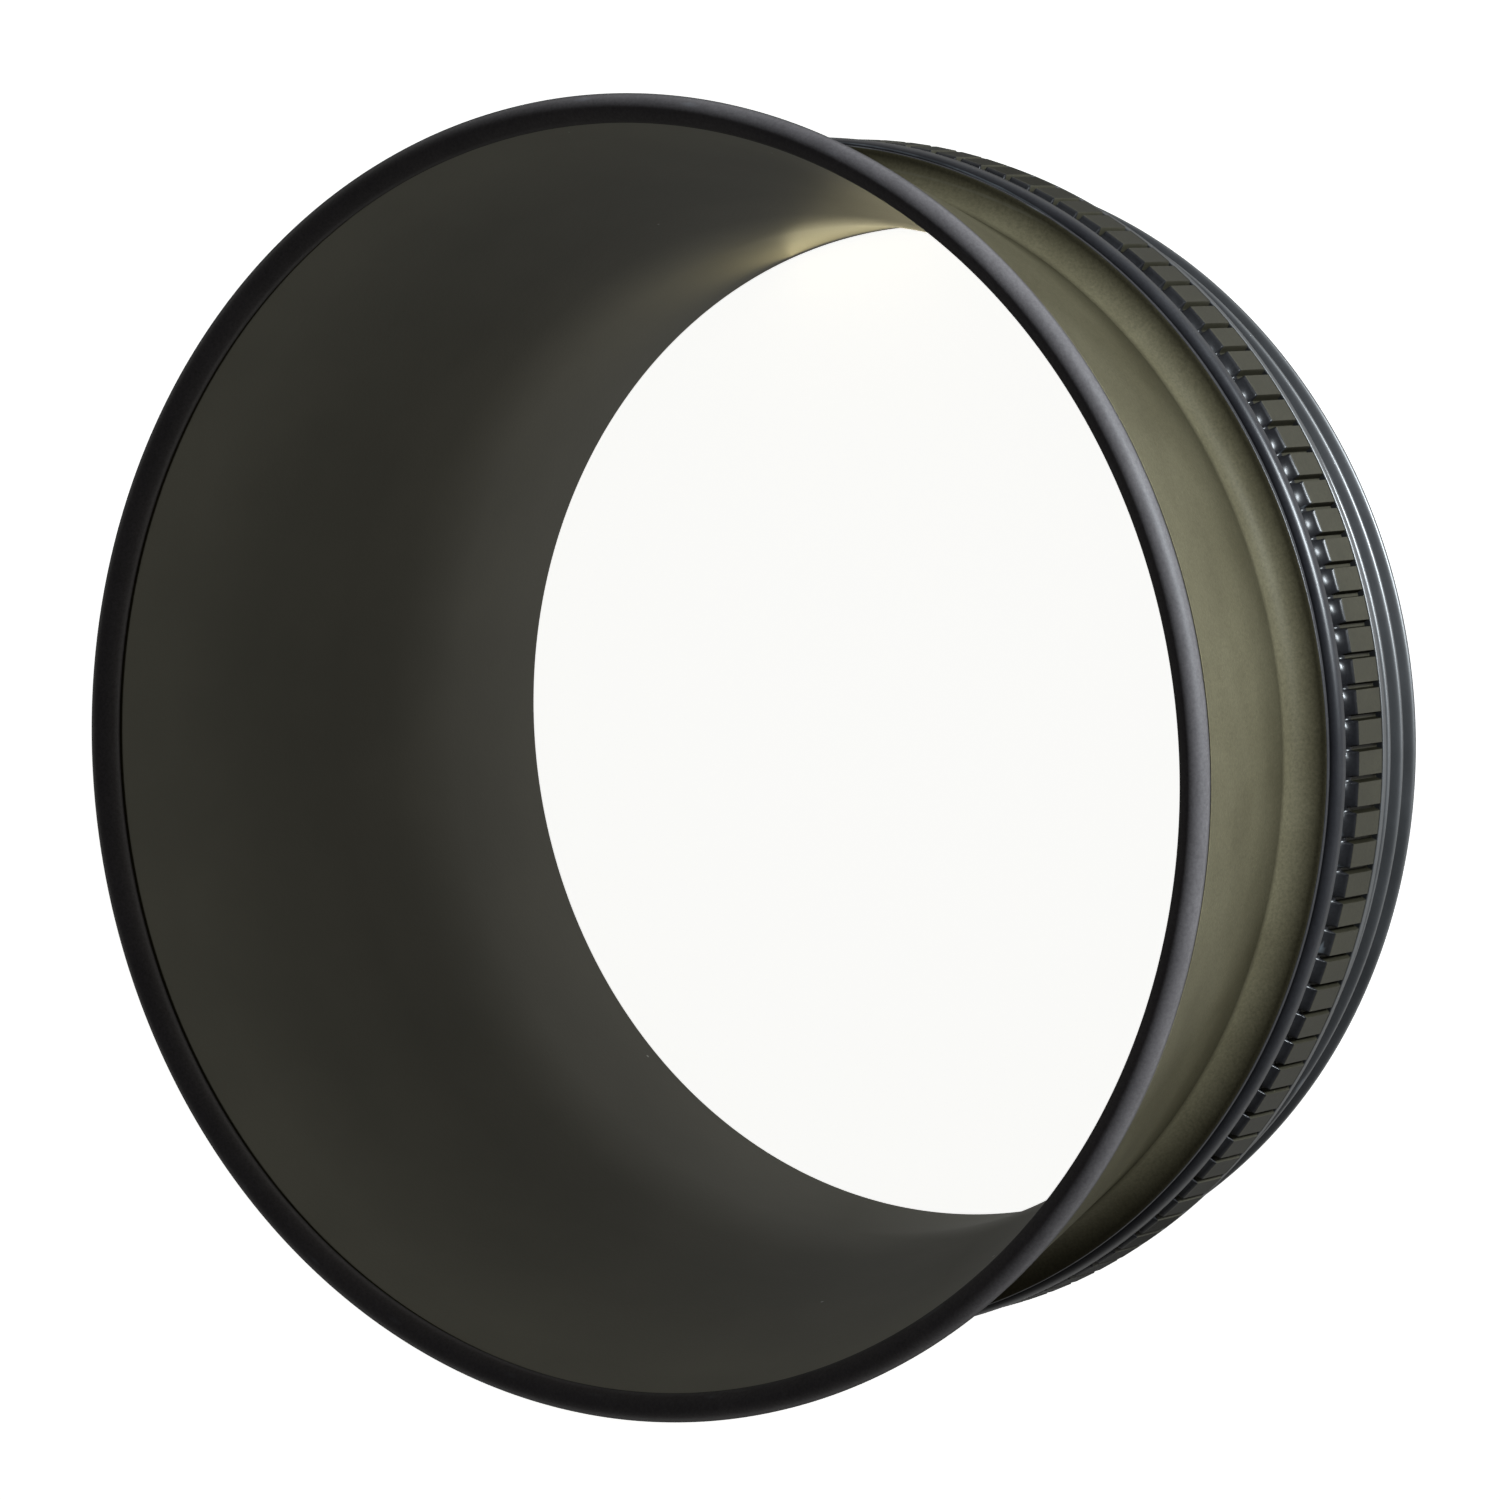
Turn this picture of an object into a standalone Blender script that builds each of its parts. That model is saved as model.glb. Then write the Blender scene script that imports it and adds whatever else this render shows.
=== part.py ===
"""A screw-in metal lens hood, built as the assembly that it is.

A bead ring is crimped over the front edge of a flared shell. The shell's captive flange turns in
a collar, which is a threaded mount ring, a knurled grip ring and a smooth retaining ring, with a
friction washer under the flange. The back of the shell is a thin tube that lines the mount
ring, so one dark surface runs from the mouth to the lens. Lengths are in metres. The optical
axis is +Z, the mount end stands on Z = 0 and the front rim is on top.
"""

import math

import bmesh
import bpy
from mathutils import Matrix

MM = 0.001

RING_STEPS = 72
SHARP_ANGLE = math.radians(32.0)

# Front rim: a round bead with a groove in its back that takes the shell's edge.
TOTAL_HEIGHT = 22.7 * MM
RIM_OUTER_RADIUS = 23.5 * MM
BEAD_RADIUS = 0.52 * MM
BEAD_POINTS = 8
CRIMP_INNER_RADIUS = 22.75 * MM
CRIMP_OUTER_RADIUS = 23.2 * MM
CRIMP_TOP = 21.98 * MM

# Shell: a thin cone with a flared shoulder, a spigot, the captive flange and the rear tube.
WALL_TOP = 21.5 * MM
WALL_INNER_RADIUS = 22.58 * MM
WALL_OUTER_RADIUS = 23.28 * MM
CONE_TAPER = 0.27
TONGUE_TOP = 21.88 * MM
TONGUE_INNER_RADIUS = 22.85 * MM
TONGUE_OUTER_RADIUS = 23.1 * MM
FILLET_RADIUS = 1.05 * MM
FILLET_CENTRE_RADIUS = 21.77 * MM
FILLET_CENTRE_HEIGHT = 11.51 * MM
FILLET_POINTS = 6
FILLET_END_DEGREES = 264.0
SHOULDER_RADIUS = 21.83 * MM
SHOULDER_TOP = 10.45 * MM
SHOULDER_BOTTOM = 10.24 * MM
SPIGOT_RADIUS = 19.95 * MM
FLANGE_RADIUS = 20.5 * MM
FLANGE_TOP = 9.35 * MM
FLANGE_BOTTOM = 8.0 * MM
NECK_RADIUS = 19.5 * MM
NECK_BOTTOM = 6.3 * MM
TUBE_OUTER_RADIUS = 19.2 * MM
TUBE_TOP = 5.0 * MM
TUBE_BOTTOM = 0.05 * MM
TUBE_INNER_RADIUS = 18.8 * MM
THROAT_CURVE_RADIUS = 14.0 * MM
THROAT_CURVE_POINTS = 6

# Retaining ring: a smooth ring whose lip holds the shell's flange down.
RETAINER_TOP = 10.02 * MM
RETAINER_BOTTOM = 9.36 * MM
RETAINER_RADIUS = 22.05 * MM
RETAINER_ROUNDING = 0.38 * MM
RETAINER_CHAMFER = 0.08 * MM
RETAINER_POINTS = 5
LIP_INNER_RADIUS = 20.1 * MM
LIP_OUTER_RADIUS = 20.6 * MM
LIP_BOTTOM = 9.5 * MM
SLEEVE_GROOVE_TOP = 9.76 * MM

# Grip ring: a sleeve with a band of flat teeth, parted by narrow milled slots.
TOOTH_COUNT = 126
GRIP_TOP = 9.24 * MM
GRIP_BOTTOM = 6.45 * MM
GRIP_RADIUS = 22.0 * MM
GRIP_BORE_RADIUS = 21.35 * MM
TOOTH_FRONT_DEPTH = 0.42 * MM
TOOTH_FRONT_LENGTH = 0.9 * MM
TOOTH_BACK_CHAMFER = 0.1 * MM
SLOT_FLOOR_RADIUS = 21.7 * MM
SLOT_WIDTH = 0.24 * MM
SLOT_OVERRUN = 0.3 * MM

# Mount ring: a barrel with a thread and a plain pilot, a seat flange and the grip's sleeve.
SLEEVE_TOP = 9.62 * MM
SLEEVE_RADIUS = 21.2 * MM
SLEEVE_BORE_RADIUS = 20.75 * MM
WASHER_LEDGE = 7.4 * MM
SEAT_RADIUS = 21.92 * MM
SEAT_TOP = 6.35 * MM
SEAT_BACK = 6.05 * MM
SEAT_CHAMFER = 0.08 * MM
SEAT_INNER_RADIUS = 21.12 * MM
RELIEF_TOP = 6.3 * MM
BARREL_BORE_RADIUS = 19.35 * MM
BORE_CHAMFER = 0.12 * MM
BORE_STEP_BOTTOM = 5.1 * MM
BORE_STEP_TOP = 6.4 * MM
NECK_BORE_RADIUS = 19.65 * MM
THREAD_RADIUS = 21.0 * MM
THREAD_ROOT_RADIUS = 20.39 * MM
THREAD_PITCH = 1.0 * MM
THREAD_RIDGES = 4
FIRST_RIDGE_HEIGHT = 2.1 * MM
PILOT_RADIUS = 19.85 * MM
PILOT_TOP = 1.35 * MM
CREST_HALF_WIDTH = 0.08 * MM

# Friction washer: a flat ring between the shell's flange and the mount ring's ledge.
WASHER_INNER_RADIUS = 19.75 * MM
WASHER_OUTER_RADIUS = 20.6 * MM
WASHER_BOTTOM = 7.55 * MM
WASHER_TOP = 7.85 * MM


def clear_scene():
    """Remove every object that the file opened with."""
    for stray in list(bpy.data.objects):
        bpy.data.objects.remove(stray, do_unlink=True)


def add_collection(name):
    """A new collection in the scene."""
    collection = bpy.data.collections.new(name)
    bpy.context.scene.collection.children.link(collection)
    return collection


def finish(name, colour, roughness, metallic):
    """A Principled material with one colour."""
    material = bpy.data.materials.new(name)
    material.use_nodes = True
    shader = material.node_tree.nodes["Principled BSDF"]
    shader.inputs["Base Color"].default_value = (*colour, 1.0)
    shader.inputs["Roughness"].default_value = roughness
    shader.inputs["Metallic"].default_value = metallic
    material.diffuse_color = (*colour, 1.0)
    return material


def arc(centre_radius, centre_height, radius, start_degrees, end_degrees, count):
    """Profile points along a circular arc, both ends included."""
    points = []
    for step in range(count):
        share = step / (count - 1)
        angle = math.radians(start_degrees + share * (end_degrees - start_degrees))
        points.append(
            (
                centre_radius + radius * math.cos(angle),
                centre_height + radius * math.sin(angle),
            )
        )
    return points


def bead_height(radius):
    """Height of the bead's underside at a radius."""
    offset = radius - (RIM_OUTER_RADIUS - BEAD_RADIUS)
    return TOTAL_HEIGHT - BEAD_RADIUS - math.sqrt(BEAD_RADIUS**2 - offset**2)


def bead_degrees(radius):
    """Angle round the bead of the point of its underside at a radius."""
    offset = radius - (RIM_OUTER_RADIUS - BEAD_RADIUS)
    return -math.degrees(math.acos(offset / BEAD_RADIUS))


def apply_modifiers(obj):
    """Replace the object's mesh with its evaluated shape, smooth but for its sharp edges."""
    graph = bpy.context.evaluated_depsgraph_get()
    mesh = bpy.data.meshes.new_from_object(obj.evaluated_get(graph))
    mesh.name = obj.name
    obj.modifiers.clear()
    obj.data = mesh
    mesh.shade_smooth()
    mesh.set_sharp_from_angle(angle=SHARP_ANGLE)


def turned_ring(name, profile, steps, collection, material):
    """A ring turned about the optical axis.

    The closed profile is a list of (radius, height) points that runs down the outer side.
    """
    mesh = bpy.data.meshes.new(name)
    corners = [(radius, 0.0, height) for radius, height in profile]
    sides = [(index, (index + 1) % len(corners)) for index in range(len(corners))]
    mesh.from_pydata(corners, sides, [])
    mesh.materials.append(material)
    ring = bpy.data.objects.new(name, mesh)
    collection.objects.link(ring)
    turn = ring.modifiers.new("Turn", "SCREW")
    turn.axis = "Z"
    turn.angle = 2.0 * math.pi
    turn.steps = steps
    turn.render_steps = steps
    turn.use_merge_vertices = True
    turn.merge_threshold = 0.001 * MM
    return ring


def make_front_rim_ring(collection):
    """The round bead at the front, grooved to be crimped over the shell's edge."""
    centre_radius = RIM_OUTER_RADIUS - BEAD_RADIUS
    centre_height = TOTAL_HEIGHT - BEAD_RADIUS
    profile = arc(
        centre_radius,
        centre_height,
        BEAD_RADIUS,
        90.0,
        bead_degrees(CRIMP_OUTER_RADIUS),
        BEAD_POINTS,
    )
    profile += [
        (CRIMP_OUTER_RADIUS, CRIMP_TOP),
        (CRIMP_INNER_RADIUS, CRIMP_TOP),
        (CRIMP_INNER_RADIUS, bead_height(CRIMP_INNER_RADIUS)),
    ]
    inner_side = arc(
        centre_radius,
        centre_height,
        BEAD_RADIUS,
        bead_degrees(CRIMP_INNER_RADIUS),
        -270.0,
        BEAD_POINTS,
    )
    profile += inner_side[1:-1]
    material = finish("gloss_black_rim", (0.022, 0.024, 0.028), 0.32, 0.6)
    ring = turned_ring("front_rim_ring", profile, RING_STEPS, collection, material)
    apply_modifiers(ring)


def make_hood_shell(collection):
    """The cone with its crimped edge and flared shoulder, the captive flange and the tube."""
    taper_degrees = math.degrees(math.atan(CONE_TAPER))
    taper_corner = WALL_TOP - (WALL_INNER_RADIUS - TUBE_INNER_RADIUS) / CONE_TAPER
    curve_start = taper_corner - THROAT_CURVE_RADIUS * math.tan(math.radians(taper_degrees / 2.0))
    profile = [
        (TONGUE_OUTER_RADIUS, TONGUE_TOP),
        (TONGUE_OUTER_RADIUS, WALL_TOP),
        (WALL_OUTER_RADIUS, WALL_TOP),
    ]
    profile += arc(
        FILLET_CENTRE_RADIUS,
        FILLET_CENTRE_HEIGHT,
        FILLET_RADIUS,
        180.0 - taper_degrees,
        FILLET_END_DEGREES,
        FILLET_POINTS,
    )
    profile += [
        (SHOULDER_RADIUS, SHOULDER_TOP),
        (SHOULDER_RADIUS, SHOULDER_BOTTOM),
        (SPIGOT_RADIUS, SHOULDER_BOTTOM),
        (SPIGOT_RADIUS, FLANGE_TOP),
        (FLANGE_RADIUS, FLANGE_TOP),
        (FLANGE_RADIUS, FLANGE_BOTTOM),
        (NECK_RADIUS, FLANGE_BOTTOM),
        (NECK_RADIUS, NECK_BOTTOM),
        (TUBE_OUTER_RADIUS, TUBE_TOP),
        (TUBE_OUTER_RADIUS, TUBE_BOTTOM),
        (TUBE_INNER_RADIUS, TUBE_BOTTOM),
    ]
    profile += arc(
        TUBE_INNER_RADIUS + THROAT_CURVE_RADIUS,
        curve_start,
        THROAT_CURVE_RADIUS,
        180.0,
        180.0 - taper_degrees,
        THROAT_CURVE_POINTS,
    )
    profile += [
        (WALL_INNER_RADIUS, WALL_TOP),
        (TONGUE_INNER_RADIUS, WALL_TOP),
        (TONGUE_INNER_RADIUS, TONGUE_TOP),
    ]
    material = finish("satin_black_shell", (0.075, 0.074, 0.062), 0.52, 0.35)
    shell = turned_ring("hood_shell", profile, RING_STEPS, collection, material)
    apply_modifiers(shell)


def make_retaining_ring(collection):
    """The smooth ring in front of the teeth, grooved to screw over the mount ring's sleeve."""
    profile = arc(
        RETAINER_RADIUS - RETAINER_ROUNDING,
        RETAINER_TOP - RETAINER_ROUNDING,
        RETAINER_ROUNDING,
        90.0,
        0.0,
        RETAINER_POINTS,
    )
    profile += [
        (RETAINER_RADIUS, RETAINER_BOTTOM + RETAINER_CHAMFER),
        (RETAINER_RADIUS - RETAINER_CHAMFER, RETAINER_BOTTOM),
        (GRIP_BORE_RADIUS, RETAINER_BOTTOM),
        (GRIP_BORE_RADIUS, SLEEVE_GROOVE_TOP),
        (LIP_OUTER_RADIUS, SLEEVE_GROOVE_TOP),
        (LIP_OUTER_RADIUS, LIP_BOTTOM),
        (LIP_INNER_RADIUS, LIP_BOTTOM),
        (LIP_INNER_RADIUS, RETAINER_TOP),
    ]
    material = finish("polished_black_retainer", (0.025, 0.027, 0.030), 0.28, 0.7)
    ring = turned_ring("retaining_ring", profile, RING_STEPS, collection, material)
    apply_modifiers(ring)


def make_slot_cutter(collection):
    """One box for each slot between the teeth, all in one helper object."""
    radial_length = GRIP_RADIUS + SLOT_OVERRUN - SLOT_FLOOR_RADIUS
    axial_length = GRIP_TOP - GRIP_BOTTOM + 2.0 * SLOT_OVERRUN
    box_centre = Matrix.Translation(
        (SLOT_FLOOR_RADIUS + radial_length / 2.0, 0.0, (GRIP_TOP + GRIP_BOTTOM) / 2.0)
    )
    box_size = Matrix.Diagonal((radial_length, SLOT_WIDTH, axial_length, 1.0))
    boxes = bmesh.new()
    for tooth in range(TOOTH_COUNT):
        turn = Matrix.Rotation(2.0 * math.pi * tooth / TOOTH_COUNT, 4, "Z")
        bmesh.ops.create_cube(boxes, size=1.0, matrix=turn @ box_centre @ box_size)
    mesh = bpy.data.meshes.new("slot_cutter")
    boxes.to_mesh(mesh)
    boxes.free()
    cutter = bpy.data.objects.new("slot_cutter", mesh)
    cutter.hide_render = True
    cutter.display_type = "WIRE"
    collection.objects.link(cutter)
    return cutter


def make_grip_ring(collection, cutters):
    """The knurled sleeve: turned with one flat per tooth, then slotted between the flats."""
    profile = [
        (GRIP_RADIUS - TOOTH_FRONT_DEPTH, GRIP_TOP),
        (GRIP_RADIUS, GRIP_TOP - TOOTH_FRONT_LENGTH),
        (GRIP_RADIUS, GRIP_BOTTOM + TOOTH_BACK_CHAMFER),
        (GRIP_RADIUS - TOOTH_BACK_CHAMFER, GRIP_BOTTOM),
        (GRIP_BORE_RADIUS, GRIP_BOTTOM),
        (GRIP_BORE_RADIUS, GRIP_TOP),
    ]
    material = finish("satin_black_grip", (0.082, 0.080, 0.066), 0.45, 0.4)
    ring = turned_ring("grip_ring", profile, TOOTH_COUNT, collection, material)
    slots = ring.modifiers.new("Slots", "BOOLEAN")
    slots.operation = "DIFFERENCE"
    slots.solver = "EXACT"
    slots.object = make_slot_cutter(cutters)
    apply_modifiers(ring)


def thread_profile():
    """The outer side of the barrel: the thread, then the plain pilot at its back end."""
    points = []
    for ridge in reversed(range(THREAD_RIDGES)):
        crest = FIRST_RIDGE_HEIGHT + ridge * THREAD_PITCH
        points += [
            (THREAD_ROOT_RADIUS, crest + THREAD_PITCH / 2.0),
            (THREAD_RADIUS, crest + CREST_HALF_WIDTH),
            (THREAD_RADIUS, crest - CREST_HALF_WIDTH),
        ]
    points += [
        (THREAD_ROOT_RADIUS, FIRST_RIDGE_HEIGHT - THREAD_PITCH / 2.0),
        (PILOT_RADIUS, PILOT_TOP),
        (PILOT_RADIUS, 0.0),
    ]
    return points


def make_mount_ring(collection):
    """The barrel that screws into the lens, with the seat flange and the grip's sleeve."""
    profile = [
        (SLEEVE_RADIUS, SLEEVE_TOP),
        (SLEEVE_RADIUS, SEAT_TOP),
        (SEAT_RADIUS - SEAT_CHAMFER, SEAT_TOP),
        (SEAT_RADIUS, SEAT_TOP - SEAT_CHAMFER),
        (SEAT_RADIUS, SEAT_BACK + SEAT_CHAMFER),
        (SEAT_RADIUS - SEAT_CHAMFER, SEAT_BACK),
        (SEAT_INNER_RADIUS, SEAT_BACK),
        (THREAD_ROOT_RADIUS, RELIEF_TOP),
    ]
    profile += thread_profile()
    profile += [
        (BARREL_BORE_RADIUS + BORE_CHAMFER, 0.0),
        (BARREL_BORE_RADIUS, BORE_CHAMFER),
        (BARREL_BORE_RADIUS, BORE_STEP_BOTTOM),
        (NECK_BORE_RADIUS, BORE_STEP_TOP),
        (NECK_BORE_RADIUS, WASHER_LEDGE),
        (SLEEVE_BORE_RADIUS, WASHER_LEDGE),
        (SLEEVE_BORE_RADIUS, SLEEVE_TOP),
    ]
    material = finish("gloss_black_thread", (0.035, 0.037, 0.042), 0.30, 0.8)
    ring = turned_ring("mount_ring", profile, RING_STEPS, collection, material)
    apply_modifiers(ring)


def make_friction_washer(collection):
    """The flat washer that stops the shell from turning loosely."""
    profile = [
        (WASHER_OUTER_RADIUS, WASHER_TOP),
        (WASHER_OUTER_RADIUS, WASHER_BOTTOM),
        (WASHER_INNER_RADIUS, WASHER_BOTTOM),
        (WASHER_INNER_RADIUS, WASHER_TOP),
    ]
    material = finish("dark_grey_washer", (0.10, 0.10, 0.10), 0.7, 0.0)
    washer = turned_ring("friction_washer", profile, RING_STEPS, collection, material)
    apply_modifiers(washer)


def main():
    clear_scene()
    hood = add_collection("lens_hood")
    cutters = add_collection("cutters")
    make_mount_ring(hood)
    make_grip_ring(hood, cutters)
    make_retaining_ring(hood)
    make_friction_washer(hood)
    make_hood_shell(hood)
    make_front_rim_ring(hood)


main()
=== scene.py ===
"""A screw-in metal lens hood in fine detail, on a pale floor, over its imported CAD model.

Every ring is turned again here with softened edges, crowned tooth fronts and a helical thread.
Lengths are in metres, the optical axis is +Z and the front rim is on top.
"""

import math

import bpy
from mathutils import Matrix, Vector


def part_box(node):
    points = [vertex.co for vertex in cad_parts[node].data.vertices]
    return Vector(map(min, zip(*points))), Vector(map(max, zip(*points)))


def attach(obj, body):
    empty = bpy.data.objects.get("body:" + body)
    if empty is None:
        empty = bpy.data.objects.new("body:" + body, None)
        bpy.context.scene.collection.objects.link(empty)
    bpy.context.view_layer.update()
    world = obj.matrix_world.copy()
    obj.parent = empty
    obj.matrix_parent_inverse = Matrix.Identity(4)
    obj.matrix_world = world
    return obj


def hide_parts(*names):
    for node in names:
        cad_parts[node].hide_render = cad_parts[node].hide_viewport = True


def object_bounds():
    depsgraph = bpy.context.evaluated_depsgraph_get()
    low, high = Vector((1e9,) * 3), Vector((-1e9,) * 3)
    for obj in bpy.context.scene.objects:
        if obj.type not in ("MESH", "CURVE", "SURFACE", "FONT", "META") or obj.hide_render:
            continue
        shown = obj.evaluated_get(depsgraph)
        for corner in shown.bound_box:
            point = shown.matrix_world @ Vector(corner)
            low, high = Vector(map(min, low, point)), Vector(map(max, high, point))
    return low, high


MM = 0.001

RING_COLUMNS = 432
SOFT_CORNER_POINTS = 5
SOFT_CORNER_SHARE = 0.45

# Front rim: a round bead, grooved at the back for the shell's edge.
BEAD_RADIUS = 0.52 * MM
BEAD_POINTS = 22
BEAD_END_DEGREES = -265.0
CRIMP_GAP = 0.04 * MM
CRIMP_TOP = 21.93 * MM

# Shell. Heights are from the mount end.
WALL_INNER_RADIUS = 22.58 * MM
WALL_OUTER_RADIUS = 23.28 * MM
WALL_TOP = 21.5 * MM
WALL_RISE = 0.15 * MM
CONE_TAPER = 0.27
TONGUE_TOP = 21.88 * MM
TONGUE_INNER_RADIUS = 22.85 * MM
TONGUE_OUTER_RADIUS = 23.1 * MM
FILLET_RADIUS = 1.05 * MM
FILLET_CENTRE = (21.77 * MM, 11.51 * MM)
FILLET_POINTS = 24
FILLET_END_DEGREES = 262.0
SHOULDER_RADIUS = 21.83 * MM
SHOULDER_TOP = 10.45 * MM
SHOULDER_BOTTOM = 10.24 * MM
SPIGOT_RADIUS = 19.95 * MM
FLANGE_RADIUS = 20.5 * MM
FLANGE_TOP = 9.35 * MM
FLANGE_BOTTOM = 8.0 * MM
NECK_RADIUS = 19.5 * MM
NECK_BOTTOM = 6.3 * MM
TUBE_OUTER_RADIUS = 19.2 * MM
TUBE_TOP = 5.0 * MM
TUBE_INNER_RADIUS = 18.8 * MM
THROAT_CURVE_RADIUS = 14.0 * MM
THROAT_CURVE_POINTS = 24
SHELL_EDGE_CUT = 0.05 * MM
# Shell faces below this take the retainer's coat: hidden in the collar, painted shade on the shoulder's
# edge.
OUTSIDE_COAT_BOTTOM = SHOULDER_TOP - 0.005 * MM
# Shell faces that look towards the axis by more than this share are painted inside faces.
INSIDE_FACE_LIMIT = -0.3

# Retaining ring
RETAINER_ROUNDING = 0.38 * MM
RETAINER_POINTS = 14
RETAINER_CHAMFER = 0.1 * MM
LIP_INNER_RADIUS = 20.1 * MM
LIP_OUTER_RADIUS = 20.6 * MM
LIP_BOTTOM = 9.5 * MM
SLEEVE_GROOVE_TOP = 9.76 * MM
RETAINER_EDGE_CUT = 0.03 * MM

# Grip ring. Column and slot shares are of one tooth's pitch, and land shares of the land's length.
TOOTH_COUNT = 126
TOOTH_COLUMNS = (0.0, 0.055, 0.08, 0.095, 0.115, 0.17, 0.30, 0.50, 0.70, 0.83, 0.885, 0.905, 0.92, 0.945)
GRIP_BORE_RADIUS = 21.35 * MM
SLOT_SHARE = 0.085
SLOT_EDGE_SHARE = 0.045
SLOT_DEPTH = 0.3 * MM
TOOTH_FRONT_DEPTH = 0.42 * MM
TOOTH_FRONT_LENGTH = 0.9 * MM
TOOTH_FRONT_TURN = math.radians(52.0)
TOOTH_FRONT_POINTS = 9
TOOTH_CROWN = 0.22 * MM
TOOTH_CROWN_LENGTH = 0.4 * MM
TOOTH_SHARP_ANGLE = math.radians(50.0)
TOOTH_BACK_CHAMFER = 0.1 * MM
LAND_SHARES = (0.05, 0.3, 0.6, 0.95)

# Mount ring
SLEEVE_RADIUS = 21.2 * MM
SLEEVE_BORE_RADIUS = 20.75 * MM
WASHER_LEDGE = 7.4 * MM
SEAT_TOP = 6.35 * MM
SEAT_BACK = 6.05 * MM
SEAT_INNER_RADIUS = 21.12 * MM
RELIEF_TOP = 6.3 * MM
BARREL_BORE_RADIUS = 19.35 * MM
BORE_STEP_BOTTOM = 5.1 * MM
BORE_STEP_TOP = 6.4 * MM
NECK_BORE_RADIUS = 19.65 * MM
THREAD_ROOT_RADIUS = 20.39 * MM
THREAD_PITCH = 1.0 * MM
THREAD_DEPTH = 0.61 * MM
THREAD_ROWS = 180
THREAD_TOP = 6.0 * MM
THREAD_FADE = 0.3 * MM
THREAD_START_TURN = 0.2
THREAD_FLAT_SHARE = 0.06
PILOT_RADIUS = 19.85 * MM
PILOT_TOP = 1.35 * MM
PILOT_SLOPE = 2.2
PILOT_EDGE = 0.15 * MM
MOUNT_EDGE_CUT = 0.07 * MM

# Coats: sizes and depths of features, heights that a coat changes between, and shares.
MOTTLE_SIZE = 4.0 * MM
SPECKLE_SIZE = 0.11 * MM
SPECKLE_DEPTH = 0.006 * MM
LATHE_LINE_SPACING = 0.16 * MM
LATHE_LINE_DEPTH = 0.004 * MM
LATHE_LINE_STRETCH = 0.02
PAINT_MOTTLE_SIZE = 6.0 * MM
PAINT_TOOTH_SIZE = 0.16 * MM
PAINT_TOOTH_DEPTH = 0.01 * MM
DUST_SPACING = 3.2 * MM
FIBRE_SIZE = 0.3 * MM
FIBRE_DEPTH = 0.02 * MM
# Painted shade: heights below which the shell's outside darkens towards the collar, and the share it
# loses.
SHELL_PAINTED_SHADE = (12.0 * MM, 15.5 * MM)
PAINTED_SHADE_SHARE = 0.42
# Painted light: heights over which the inside is painted lighter towards the front opening.
INSIDE_PAINTED_LIGHT = (13.0 * MM, 21.0 * MM)
GLANCE_RANGE = (0.5, 0.82)
GLANCE_SHADE = 0.6
ANODISED_SHEEN_LOSS = 0.96
PAINT_SHEEN_LOSS = 0.85
ROUGHNESS_SPREAD = 0.12

# Surroundings: shades by the height that one looks towards, 0 at the horizon and 1 overhead.
SKY_SHADES = [(0.0, (0.60, 0.59, 0.55)), (0.35, (0.31, 0.31, 0.30)), (0.75, (0.11, 0.11, 0.12))]

# Lights. Sizes are in metres and energies in watts.
WINDOW_PLACE = (0.135, -0.365, 0.0125)
WINDOW_AIM = (0.0, 0.0, 0.01)
WINDOW_SIZE = (0.10, 0.019)
WINDOW_ENERGY = 8.0
WINDOW_COLOUR = (0.86, 0.94, 1.0)
GLOW_PLACE = (0.0168, 0.001, 0.0004)
GLOW_SIZE = (0.003, 0.006)
GLOW_ENERGY = 0.0006
GLOW_COLOUR = (1.0, 0.88, 0.50)

# Floor
FLOOR_REACH = 1.5
FLOOR_DROP = 0.02 * MM

# Places of a Mix node's colour sockets. Its sockets for every kind of data share their names.
MIX_COLOUR_INPUTS = (6, 7)
MIX_COLOUR_OUTPUT = 2

# Camera
LENS_MM = 168.0
SENSOR_MM = 36.0
CAMERA_DISTANCE = 246.83 * MM
CAMERA_OFF_AXIS = math.radians(33.742)
CAMERA_AIM = (-0.152 * MM, -5.662 * MM)
CAMERA_ROLL = math.radians(-97.082)


# ---------------------------------------------------------------- shapes


def arc(centre, radius, start_degrees, end_degrees, count):
    """Profile points along a circular arc, both ends included."""
    points = []
    for step in range(count):
        share = step / (count - 1)
        angle = math.radians(start_degrees + share * (end_degrees - start_degrees))
        points.append((centre[0] + radius * math.cos(angle), centre[1] + radius * math.sin(angle)))
    return points


def softened(corners, cut):
    """The closed profile with each corner rounded over a length `cut` of both its sides."""
    points = []
    for index, corner in enumerate(corners):
        here = Vector(corner)
        to_last = Vector(corners[index - 1]) - here
        to_next = Vector(corners[(index + 1) % len(corners)]) - here
        start = here + to_last.normalized() * min(cut, SOFT_CORNER_SHARE * to_last.length)
        end = here + to_next.normalized() * min(cut, SOFT_CORNER_SHARE * to_next.length)
        for step in range(SOFT_CORNER_POINTS):
            share = step / (SOFT_CORNER_POINTS - 1)
            bend = (1 - share) ** 2 * start + 2 * share * (1 - share) * here + share**2 * end
            points.append((bend.x, bend.y))
    return points


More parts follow.
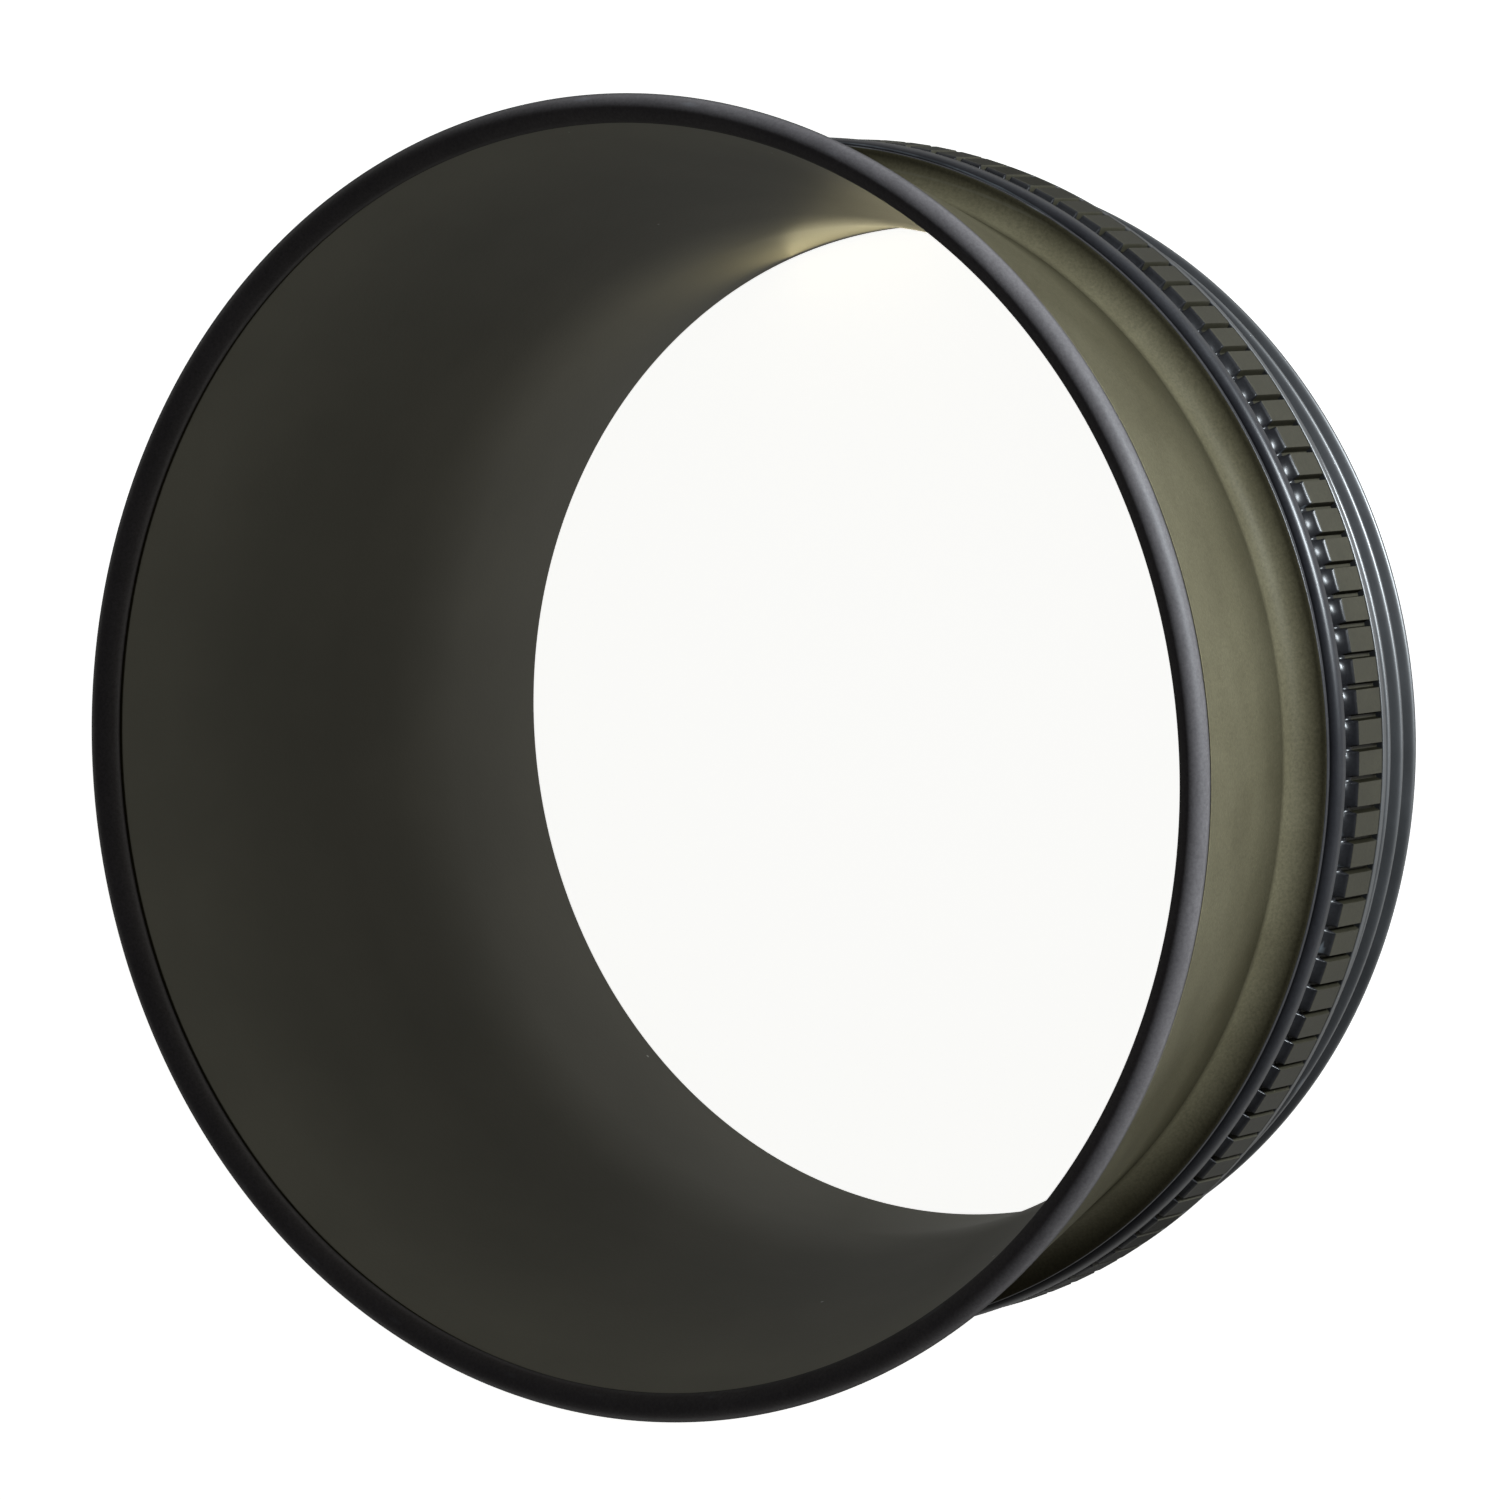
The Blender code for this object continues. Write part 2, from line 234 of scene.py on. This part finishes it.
def revolve(name, profile, angles, shape=None, coat=None):
    """A closed ring from a closed (radius, height) profile, turned through the given angles.

    shape(angle, radius, height) returns the point's own radius. coat(outward, centre) returns
    the number of a face's material; outward is 1 for a face that looks straight away from the
    axis and -1 for one that looks at it.
    """
    vertices = []
    for angle in angles:
        for radius, height in profile:
            own = shape(angle, radius, height) if shape else radius
            vertices.append((own * math.cos(angle), own * math.sin(angle), height))
    rows = len(profile)
    columns = len(angles)
    faces = []
    for column in range(columns):
        here = column * rows
        there = (column + 1) % columns * rows
        for row in range(rows):
            below = (row + 1) % rows
            faces.append((here + row, here + below, there + below, there + row))
    mesh = bpy.data.meshes.new(name)
    mesh.from_pydata(vertices, [], faces)
    mesh.validate()
    mesh.shade_smooth()
    if coat:
        for face in mesh.polygons:
            across = face.center.xy
            outward = face.normal.xy.dot(across) / across.length
            face.material_index = int(coat(outward, face.center))
    ring = bpy.data.objects.new(name, mesh)
    bpy.context.scene.collection.objects.link(ring)
    return ring


def even_angles(count):
    """Angles that share a full turn equally."""
    return [2.0 * math.pi * step / count for step in range(count)]


def smooth_step(low, high, value):
    """From 0 at `low` to 1 at `high`, level at both ends."""
    share = min(1.0, max(0.0, (value - low) / (high - low)))
    return share * share * (3.0 - 2.0 * share)


# ---------------------------------------------------------------- node helpers


def new_material(name):
    """A material, its node tree and its shader."""
    material = bpy.data.materials.new(name)
    material.use_nodes = True
    tree = material.node_tree
    return material, tree, tree.nodes["Principled BSDF"]


def node(tree, kind, **settings):
    """A node with its attributes, and with its input values given as in_NAME=value."""
    made = tree.nodes.new(kind)
    for key, value in settings.items():
        if key.startswith("in_"):
            made.inputs[key[3:].replace("_", " ")].default_value = value
        else:
            setattr(made, key, value)
    return made


def noise(tree, vector, size, detail=2.0, roughness=0.5):
    """Noise with features about `size` metres across."""
    made = node(tree, "ShaderNodeTexNoise", in_Scale=1.0 / size, in_Detail=detail, in_Roughness=roughness)
    tree.links.new(vector, made.inputs["Vector"])
    return made.outputs["Fac"]


def grey(value):
    return (value, value, value)


def ramp(tree, value, stops):
    """A colour ramp through (position, colour) stops."""
    made = tree.nodes.new("ShaderNodeValToRGB")
    elements = made.color_ramp.elements
    while len(elements) < len(stops):
        elements.new(0.5)
    for element, (position, colour) in zip(elements, stops):
        element.position = position
        element.color = (*colour, 1.0)
    tree.links.new(value, made.inputs["Fac"])
    return made.outputs["Color"]


def fade(tree, value, low, high):
    """A grey ramp from black at `low` to white at `high`."""
    return ramp(tree, value, [(low, grey(0.0)), (high, grey(1.0))])


def mix_colour(tree, share, first, second, blend="MIX"):
    """Mix of two colours. The share and each colour is a socket or a plain value."""
    made = node(tree, "ShaderNodeMix", data_type="RGBA", blend_type=blend)
    if isinstance(share, float):
        made.inputs["Factor"].default_value = share
    else:
        tree.links.new(share, made.inputs["Factor"])
    for number, colour in zip(MIX_COLOUR_INPUTS, (first, second)):
        socket = made.inputs[number]
        if isinstance(colour, tuple):
            socket.default_value = (*colour, 1.0)
        else:
            tree.links.new(colour, socket)
    return made.outputs[MIX_COLOUR_OUTPUT]


def maths(tree, operation, first, second):
    """A Math node on sockets or plain numbers."""
    made = node(tree, "ShaderNodeMath", operation=operation)
    for socket, value in zip(made.inputs, (first, second)):
        if isinstance(value, float):
            socket.default_value = value
        else:
            tree.links.new(value, socket)
    return made.outputs["Value"]


def object_place(tree):
    """Object coordinates: metres in the part's own frame."""
    return tree.nodes.new("ShaderNodeTexCoord").outputs["Object"]


def turning_lines(tree, place):
    """Fine rings round the axis, as a lathe tool leaves them."""
    stretch = node(tree, "ShaderNodeMapping", in_Scale=(LATHE_LINE_STRETCH, LATHE_LINE_STRETCH, 1.0))
    tree.links.new(place, stretch.inputs["Vector"])
    return noise(tree, stretch.outputs["Vector"], LATHE_LINE_SPACING, detail=3.0, roughness=0.6)


def edge_wear(tree, start, end):
    """From 0 on flats to 1 on exposed edges."""
    pointed = tree.nodes.new("ShaderNodeNewGeometry").outputs["Pointiness"]
    return fade(tree, pointed, start, end)


def height_of(tree, place):
    """The height above the mount end, in metres."""
    made = node(tree, "ShaderNodeSeparateXYZ")
    tree.links.new(place, made.inputs["Vector"])
    return made.outputs["Z"]


def glancing(tree):
    """From 0 on surfaces seen squarely to 1 on surfaces seen at a glancing angle."""
    facing = node(tree, "ShaderNodeLayerWeight", in_Blend=0.5).outputs["Facing"]
    return fade(tree, facing, *GLANCE_RANGE)


def bump(tree, height, strength, distance, normal=None):
    """A normal roughened by `height`, over the plain surface or over another bump's normal."""
    made = node(tree, "ShaderNodeBump", in_Strength=strength, in_Distance=distance)
    tree.links.new(height, made.inputs["Height"])
    if normal:
        tree.links.new(normal, made.inputs["Normal"])
    return made.outputs["Normal"]


def sheen_left(tree, glance, specular, loss):
    """The specular level once the coat's fine tooth has taken the sheen off at glancing angles."""
    return maths(tree, "SUBTRACT", specular, maths(tree, "MULTIPLY", glance, specular * loss))


def anodised(
    name, dark, light, worn, wear_range, roughness, grain, lines, specular, tint=grey(1.0), painted_shade_heights=None
):
    """Black anodised metal: mottled tone, fine grain, lathe lines and wear on exposed edges.

    The coat is darkened below the given heights as painted shade: unchanged above the second, darkest
    below the first.
    """
    material, tree, shader = new_material(name)
    place = object_place(tree)
    mottle = noise(tree, place, MOTTLE_SIZE, detail=4.0, roughness=0.6)
    speckle = noise(tree, place, SPECKLE_SIZE, detail=3.0, roughness=0.7)
    tone = mix_colour(tree, fade(tree, mottle, 0.3, 0.7), dark, light)
    uneven = ramp(tree, speckle, [(0.3, grey(0.78)), (0.7, grey(1.2))])
    speckled = mix_colour(tree, 1.0, tone, uneven, blend="MULTIPLY")
    patches = ramp(tree, mottle, [(0.4, grey(0.15)), (0.65, grey(1.0))])
    wear = maths(tree, "MULTIPLY", edge_wear(tree, *wear_range), patches)
    coat = mix_colour(tree, wear, speckled, worn)
    # Painted shade: darker towards the collar, below the given heights.
    if painted_shade_heights:
        unshaded_share = fade(tree, height_of(tree, place), *painted_shade_heights)
        painted_shade_amount = maths(tree, "SUBTRACT", PAINTED_SHADE_SHARE, maths(tree, "MULTIPLY", unshaded_share, PAINTED_SHADE_SHARE))
        coat = mix_colour(tree, painted_shade_amount, coat, grey(0.0))
    glance = glancing(tree)
    shaded = mix_colour(tree, maths(tree, "MULTIPLY", glance, GLANCE_SHADE), coat, grey(0.0))
    tree.links.new(shaded, shader.inputs["Base Color"])
    sheen = sheen_left(tree, glance, specular, ANODISED_SHEEN_LOSS)
    tree.links.new(sheen, shader.inputs["Specular IOR Level"])
    spread = maths(tree, "MULTIPLY", mottle, ROUGHNESS_SPREAD)
    rough = maths(tree, "ADD", roughness - ROUGHNESS_SPREAD / 2.0, spread)
    tree.links.new(rough, shader.inputs["Roughness"])
    shader.inputs["Specular Tint"].default_value = (*tint, 1.0)
    lathed = bump(tree, turning_lines(tree, place), lines, LATHE_LINE_DEPTH)
    tree.links.new(bump(tree, speckle, grain, SPECKLE_DEPTH, lathed), shader.inputs["Normal"])
    return material


# ---------------------------------------------------------------- materials


def shell_outside_material():
    """Warm olive-black satin, with painted shade towards the collar."""
    return anodised(
        "shell_outside",
        dark=(0.044, 0.0390, 0.0230),
        light=(0.058, 0.0520, 0.0320),
        worn=(0.07, 0.065, 0.045),
        wear_range=(0.62, 0.80),
        roughness=0.54,
        grain=0.5,
        lines=0.3,
        specular=0.045,
        tint=(1.0, 0.94, 0.76),
        painted_shade_heights=SHELL_PAINTED_SHADE,
    )


def shell_inside_material():
    """Matte olive-black paint, lighter towards the front as painted light, a fine tooth and a few specks
    of dust.
    """
    material, tree, shader = new_material("shell_inside")
    place = object_place(tree)
    mottle = noise(tree, place, PAINT_MOTTLE_SIZE, detail=3.0)
    tooth = noise(tree, place, PAINT_TOOTH_SIZE, detail=3.0, roughness=0.7)
    # Painted light: the tone is lighter towards the front opening.
    painted_light_share = fade(tree, height_of(tree, place), *INSIDE_PAINTED_LIGHT)
    deep_tone = mix_colour(tree, mottle, (0.064, 0.063, 0.053), (0.090, 0.087, 0.072))
    lit_tone = mix_colour(tree, mottle, (0.115, 0.114, 0.095), (0.155, 0.152, 0.124))
    tone = mix_colour(tree, painted_light_share, deep_tone, lit_tone)
    dust = node(tree, "ShaderNodeTexVoronoi", in_Scale=1.0 / DUST_SPACING)
    tree.links.new(place, dust.inputs["Vector"])
    specks = ramp(tree, dust.outputs["Distance"], [(0.012, grey(1.0)), (0.022, grey(0.0))])
    tree.links.new(mix_colour(tree, specks, tone, (0.25, 0.25, 0.23)), shader.inputs["Base Color"])
    shader.inputs["Roughness"].default_value = 0.55
    sheen = sheen_left(tree, glancing(tree), 0.05, PAINT_SHEEN_LOSS)
    tree.links.new(sheen, shader.inputs["Specular IOR Level"])
    shader.inputs["Specular Tint"].default_value = (1.0, 0.94, 0.74, 1.0)
    tree.links.new(bump(tree, tooth, 0.6, PAINT_TOOTH_DEPTH), shader.inputs["Normal"])
    return material


def rim_material():
    """Dark satin with faint bluish wear."""
    return anodised(
        "rim_gloss",
        dark=(0.032, 0.0295, 0.0305),
        light=(0.044, 0.0405, 0.0415),
        worn=(0.06, 0.06, 0.065),
        wear_range=(0.58, 0.70),
        roughness=0.56,
        grain=0.3,
        lines=0.3,
        specular=0.11,
    )


def retainer_material():
    """Near-black gloss, also on the shell inside the collar and, as painted shade, on the shoulder's edge.
    """
    return anodised(
        "retainer_gloss",
        dark=(0.005, 0.005, 0.006),
        light=(0.009, 0.009, 0.010),
        worn=(0.05, 0.055, 0.06),
        wear_range=(0.56, 0.68),
        roughness=0.36,
        grain=0.2,
        lines=0.3,
        specular=0.15,
    )


def land_material():
    """Olive-black satin on the flats of the teeth."""
    return anodised(
        "grip_lands",
        dark=(0.0080, 0.0073, 0.0045),
        light=(0.0120, 0.0110, 0.0070),
        worn=(0.03, 0.03, 0.026),
        wear_range=(0.56, 0.70),
        roughness=0.5,
        grain=0.5,
        lines=0.4,
        specular=0.12,
        tint=(1.0, 0.96, 0.84),
    )


def tooth_front_material():
    """Near-black gloss on the hollow fronts of the teeth."""
    return anodised(
        "grip_fronts",
        dark=(0.003, 0.003, 0.0035),
        light=(0.006, 0.006, 0.0065),
        worn=(0.04, 0.045, 0.05),
        wear_range=(0.56, 0.66),
        roughness=0.28,
        grain=0.1,
        lines=0.1,
        specular=0.065,
    )


def thread_material():
    """Glossy black, a little worn on the crests."""
    return anodised(
        "thread_gloss",
        dark=(0.005, 0.0055, 0.006),
        light=(0.010, 0.0105, 0.0115),
        worn=(0.05, 0.055, 0.06),
        wear_range=(0.55, 0.68),
        roughness=0.46,
        grain=0.2,
        lines=0.3,
        specular=0.6,
    )


def washer_material():
    """Dark fibre washer."""
    material, tree, shader = new_material("washer_fibre")
    fibre = noise(tree, object_place(tree), FIBRE_SIZE, detail=5.0, roughness=0.7)
    tone = mix_colour(tree, fibre, (0.06, 0.06, 0.06), (0.14, 0.14, 0.13))
    tree.links.new(tone, shader.inputs["Base Color"])
    shader.inputs["Roughness"].default_value = 0.75
    tree.links.new(bump(tree, fibre, 0.5, FIBRE_DEPTH), shader.inputs["Normal"])
    return material


# ---------------------------------------------------------------- pieces


def ring_size(name):
    """Outer radius, top and bottom of a round CAD node."""
    low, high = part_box(name)
    return high[0], high[2], low[2]


def hand_over(piece, materials, body, replaced):
    """Give a fine piece its materials and its place in the assembly."""
    for material in materials:
        piece.data.materials.append(material)
    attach(piece, body)
    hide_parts(replaced)


def bead_angle(radius, bead_centre_radius):
    """Angle round the bead, below its centre, of the point at a radius."""
    return -math.degrees(math.acos((radius - bead_centre_radius) / BEAD_RADIUS))


def make_rim():
    """The front bead, crimped over the shell's edge."""
    outer, top, _ = ring_size("front_rim_ring")
    centre = (outer - BEAD_RADIUS, top - BEAD_RADIUS)
    groove_outer = TONGUE_OUTER_RADIUS + CRIMP_GAP
    groove_inner = TONGUE_INNER_RADIUS - CRIMP_GAP
    profile = arc(centre, BEAD_RADIUS, 90.0, bead_angle(groove_outer, centre[0]), BEAD_POINTS)
    profile += [(groove_outer, CRIMP_TOP), (groove_inner, CRIMP_TOP)]
    profile += arc(centre, BEAD_RADIUS, bead_angle(groove_inner, centre[0]), BEAD_END_DEGREES, BEAD_POINTS)
    rim = revolve("rim_fine", profile, even_angles(RING_COLUMNS))
    hand_over(rim, [rim_material()], "hood", "front_rim_ring")


def make_shell():
    """The cone with its flared shoulder, captive flange and rear tube."""
    _, _, bottom = ring_size("hood_shell")
    taper_degrees = math.degrees(math.atan(CONE_TAPER))
    taper_corner = WALL_TOP - (WALL_INNER_RADIUS - TUBE_INNER_RADIUS) / CONE_TAPER
    curve_start = taper_corner - THROAT_CURVE_RADIUS * math.tan(math.radians(taper_degrees / 2.0))
    curve_centre = (TUBE_INNER_RADIUS + THROAT_CURVE_RADIUS, curve_start)
    tongue_root = WALL_TOP + WALL_RISE / 2.0
    corners = [
        (TONGUE_OUTER_RADIUS, TONGUE_TOP),
        (TONGUE_OUTER_RADIUS, tongue_root),
        (WALL_OUTER_RADIUS + CONE_TAPER * WALL_RISE, WALL_TOP + WALL_RISE),
    ]
    corners += arc(FILLET_CENTRE, FILLET_RADIUS, 180.0 - taper_degrees, FILLET_END_DEGREES, FILLET_POINTS)
    corners += [
        (SHOULDER_RADIUS, SHOULDER_TOP),
        (SHOULDER_RADIUS, SHOULDER_BOTTOM),
        (SPIGOT_RADIUS, SHOULDER_BOTTOM),
        (SPIGOT_RADIUS, FLANGE_TOP),
        (FLANGE_RADIUS, FLANGE_TOP),
        (FLANGE_RADIUS, FLANGE_BOTTOM),
        (NECK_RADIUS, FLANGE_BOTTOM),
        (NECK_RADIUS, NECK_BOTTOM),
        (TUBE_OUTER_RADIUS, TUBE_TOP),
        (TUBE_OUTER_RADIUS, bottom),
        (TUBE_INNER_RADIUS, bottom),
    ]
    corners += arc(curve_centre, THROAT_CURVE_RADIUS, 180.0, 180.0 - taper_degrees, THROAT_CURVE_POINTS)
    corners += [
        (WALL_INNER_RADIUS + CONE_TAPER * WALL_RISE, WALL_TOP + WALL_RISE),
        (TONGUE_INNER_RADIUS, tongue_root),
        (TONGUE_INNER_RADIUS, TONGUE_TOP),
    ]

    outside, inside, held_and_shaded = range(3)

    def shell_coat(outward, centre):
        if outward < INSIDE_FACE_LIMIT:
            return inside
        # Near-black below the shoulder top: hidden in the collar, and painted shade on the shoulder's
        # edge.
        return held_and_shaded if centre.z < OUTSIDE_COAT_BOTTOM else outside

    profile = softened(corners, SHELL_EDGE_CUT)
    shell = revolve("shell_fine", profile, even_angles(RING_COLUMNS), coat=shell_coat)
    coats = [shell_outside_material(), shell_inside_material(), retainer_material()]
    hand_over(shell, coats, "hood", "hood_shell")


def make_retainer():
    """The smooth ring with the inner lip."""
    outer, top, bottom = ring_size("retaining_ring")
    rounding_centre = (outer - RETAINER_ROUNDING, top - RETAINER_ROUNDING)
    corners = arc(rounding_centre, RETAINER_ROUNDING, 90.0, 0.0, RETAINER_POINTS)
    corners += [
        (outer, bottom + RETAINER_CHAMFER),
        (outer - RETAINER_CHAMFER, bottom),
        (GRIP_BORE_RADIUS, bottom),
        (GRIP_BORE_RADIUS, SLEEVE_GROOVE_TOP),
        (LIP_OUTER_RADIUS, SLEEVE_GROOVE_TOP),
        (LIP_OUTER_RADIUS, LIP_BOTTOM),
        (LIP_INNER_RADIUS, LIP_BOTTOM),
        (LIP_INNER_RADIUS, top),
    ]
    profile = softened(corners, RETAINER_EDGE_CUT)
    ring = revolve("retainer_fine", profile, even_angles(RING_COLUMNS))
    hand_over(ring, [retainer_material()], "collar", "retaining_ring")


def grip_profile(outer, top, bottom):
    """One tooth from the side: a hollow cut front, a long flat land and a small back chamfer."""
    front_end = top - TOOTH_FRONT_LENGTH
    land_end = bottom + TOOTH_BACK_CHAMFER
    profile = [(GRIP_BORE_RADIUS, top), (outer - TOOTH_FRONT_DEPTH, top)]
    for step in range(1, TOOTH_FRONT_POINTS):
        turn = TOOTH_FRONT_TURN * step / (TOOTH_FRONT_POINTS - 1)
        rise = TOOTH_FRONT_DEPTH * (1.0 - math.cos(turn)) / (1.0 - math.cos(TOOTH_FRONT_TURN))
        height = top - TOOTH_FRONT_LENGTH * math.sin(turn) / math.sin(TOOTH_FRONT_TURN)
        profile.append((outer - TOOTH_FRONT_DEPTH + rise, height))
    for share in LAND_SHARES:
        profile.append((outer, front_end + share * (land_end - front_end)))
    profile += [(outer, land_end), (outer - TOOTH_BACK_CHAMFER, bottom), (GRIP_BORE_RADIUS, bottom)]
    return profile


def make_grip():
    """The knurled ring: flat lands, narrow slots and crowned tooth fronts."""
    outer, top, bottom = ring_size("grip_ring")
    pitch = 2.0 * math.pi / TOOTH_COUNT
    floor = outer - SLOT_DEPTH
    front_end = top - TOOTH_FRONT_LENGTH

    def tooth_shape(angle, radius, height):
        phase = angle / pitch % 1.0
        if radius <= GRIP_BORE_RADIUS:
            return radius
        flat = math.cos(pitch / 2.0) / math.cos((phase - 0.5) * pitch)
        crown = TOOTH_CROWN * smooth_step(front_end, front_end + TOOTH_CROWN_LENGTH, height)
        from_middle = 2.0 * abs(phase - 0.5)
        land = radius * flat - crown * from_middle**2
        from_slot = min(phase, 1.0 - phase)
        edge = SLOT_EDGE_SHARE / 2.0
        slot = 1.0 - smooth_step(SLOT_SHARE - edge, SLOT_SHARE + edge, from_slot)
        return land - max(0.0, land - floor) * slot

    def is_front(outward, centre):
        return centre.z > front_end

    angles = [pitch * (tooth + share) for tooth in range(TOOTH_COUNT) for share in TOOTH_COLUMNS]
    profile = grip_profile(outer, top, bottom)
    ring = revolve("grip_fine", profile, angles, shape=tooth_shape, coat=is_front)
    ring.data.set_sharp_from_angle(angle=TOOTH_SHARP_ANGLE)
    hand_over(ring, [land_material(), tooth_front_material()], "collar", "grip_ring")


def make_mount():
    """The barrel with a helical thread, the seat flange and the grip's sleeve."""
    seat, sleeve_top, bottom = ring_size("mount_ring")
    profile = softened(
        [
            (BARREL_BORE_RADIUS, BORE_STEP_BOTTOM),
            (NECK_BORE_RADIUS, BORE_STEP_TOP),
            (NECK_BORE_RADIUS, WASHER_LEDGE),
            (SLEEVE_BORE_RADIUS, WASHER_LEDGE),
            (SLEEVE_BORE_RADIUS, sleeve_top),
            (SLEEVE_RADIUS, sleeve_top),
            (SLEEVE_RADIUS, SEAT_TOP),
            (seat, SEAT_TOP),
            (seat, SEAT_BACK),
            (SEAT_INNER_RADIUS, SEAT_BACK),
            (THREAD_ROOT_RADIUS, RELIEF_TOP),
        ],
        MOUNT_EDGE_CUT,
    )
    for row in range(THREAD_ROWS):
        share = row / (THREAD_ROWS - 1)
        profile.append((THREAD_ROOT_RADIUS, THREAD_TOP + share * (PILOT_TOP - THREAD_TOP)))
    profile += [
        (PILOT_RADIUS, PILOT_TOP),
        (PILOT_RADIUS, bottom + PILOT_EDGE),
        (PILOT_RADIUS - PILOT_EDGE, bottom),
        (BARREL_BORE_RADIUS, bottom),
    ]

    def thread_shape(angle, radius, height):
        if radius != THREAD_ROOT_RADIUS or height > THREAD_TOP:
            return radius
        phase = (height / THREAD_PITCH - angle / (2.0 * math.pi) + THREAD_START_TURN) % 1.0
        rise = smooth_step(THREAD_FLAT_SHARE, 1.0 - THREAD_FLAT_SHARE, 1.0 - 2.0 * abs(phase - 0.5))
        runout = smooth_step(THREAD_TOP, THREAD_TOP - THREAD_FADE, height)
        start = PILOT_RADIUS + PILOT_SLOPE * (height - PILOT_TOP)
        return min(THREAD_ROOT_RADIUS + THREAD_DEPTH * rise * runout, start)

    ring = revolve("mount_fine", profile, even_angles(RING_COLUMNS), shape=thread_shape)
    hand_over(ring, [thread_material()], "collar", "mount_ring")


def finish_washer():
    """The washer keeps its CAD shape."""
    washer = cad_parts["friction_washer"]
    washer.data.materials.clear()
    washer.data.materials.append(washer_material())


# ---------------------------------------------------------------- stage


def make_floor():
    """A plain pale floor that glows a little, so the object's shadow stays soft."""
    mesh = bpy.data.meshes.new("floor")
    directions = ((-1, -1), (1, -1), (1, 1), (-1, 1))
    corners = [(x * FLOOR_REACH, y * FLOOR_REACH, 0.0) for x, y in directions]
    mesh.from_pydata(corners, [], [(0, 1, 2, 3)])
    floor = bpy.data.objects.new("floor", mesh)
    floor.location.z = -FLOOR_DROP
    bpy.context.scene.collection.objects.link(floor)
    material, _, shader = new_material("floor_paper")
    shader.inputs["Base Color"].default_value = (0.86, 0.86, 0.85, 1.0)
    shader.inputs["Roughness"].default_value = 0.9
    shader.inputs["Specular IOR Level"].default_value = 0.0
    shader.inputs["Emission Color"].default_value = (1.0, 1.0, 0.98, 1.0)
    shader.inputs["Emission Strength"].default_value = 0.9
    mesh.materials.append(material)


def make_sky():
    """Surroundings: bright at the horizon and dim overhead."""
    world = bpy.data.worlds.new("surroundings")
    world.use_nodes = True
    tree = world.node_tree
    direction = tree.nodes.new("ShaderNodeTexCoord").outputs["Generated"]
    split = tree.nodes.new("ShaderNodeSeparateXYZ")
    tree.links.new(direction, split.inputs["Vector"])
    shade = ramp(tree, split.outputs["Z"], SKY_SHADES)
    tree.links.new(shade, tree.nodes["Background"].inputs["Color"])
    bpy.context.scene.world = world


def add_panel(name, size, energy, colour, place, turn):
    """A rectangular area light."""
    data = bpy.data.lights.new(name, "AREA")
    data.shape = "RECTANGLE"
    data.size, data.size_y = size
    data.energy = energy
    data.color = colour
    light = bpy.data.objects.new(name, data)
    light.location = place
    light.rotation_euler = turn
    bpy.context.scene.collection.objects.link(light)


def make_window():
    """A cool strip of window light, lower than the front rim, so it stays out of the bore."""
    turn = (Vector(WINDOW_AIM) - Vector(WINDOW_PLACE)).to_track_quat("-Z", "Y").to_euler()
    add_panel("window", WINDOW_SIZE, WINDOW_ENERGY, WINDOW_COLOUR, WINDOW_PLACE, turn)


def make_glow():
    """A very small warm light just above the floor, inside the bore, that grazes one inner wall."""
    upwards = (math.pi, 0.0, 0.0)
    add_panel("glow", GLOW_SIZE, GLOW_ENERGY, GLOW_COLOUR, GLOW_PLACE, upwards)


def make_camera(rim_height):
    """The camera in front of the hood and to one side, aimed near the middle of the front rim."""
    data = bpy.data.cameras.new("camera")
    data.lens = LENS_MM
    data.sensor_width = SENSOR_MM
    camera = bpy.data.objects.new("camera", data)
    back = CAMERA_DISTANCE * math.sin(CAMERA_OFF_AXIS)
    above = CAMERA_DISTANCE * math.cos(CAMERA_OFF_AXIS)
    place = Vector((0.0, -back, rim_height + above))
    aim = Vector((*CAMERA_AIM, rim_height))
    level = (aim - place).to_track_quat("-Z", "Y").to_matrix().to_4x4()
    camera.matrix_world = Matrix.Translation(place) @ level @ Matrix.Rotation(CAMERA_ROLL, 4, "Z")
    bpy.context.scene.collection.objects.link(camera)
    bpy.context.scene.camera = camera


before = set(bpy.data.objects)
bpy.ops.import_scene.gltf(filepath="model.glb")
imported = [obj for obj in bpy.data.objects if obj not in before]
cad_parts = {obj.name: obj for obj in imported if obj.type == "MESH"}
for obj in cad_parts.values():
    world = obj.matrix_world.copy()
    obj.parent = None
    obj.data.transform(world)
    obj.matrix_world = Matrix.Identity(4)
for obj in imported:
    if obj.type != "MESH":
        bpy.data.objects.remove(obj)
cad_low, cad_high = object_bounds()
make_mount()
make_grip()
make_retainer()
finish_washer()
make_shell()
make_rim()
make_floor()
make_sky()
make_window()
make_glow()
make_camera(cad_high[2])
bpy.context.scene.view_settings.view_transform = "Standard"
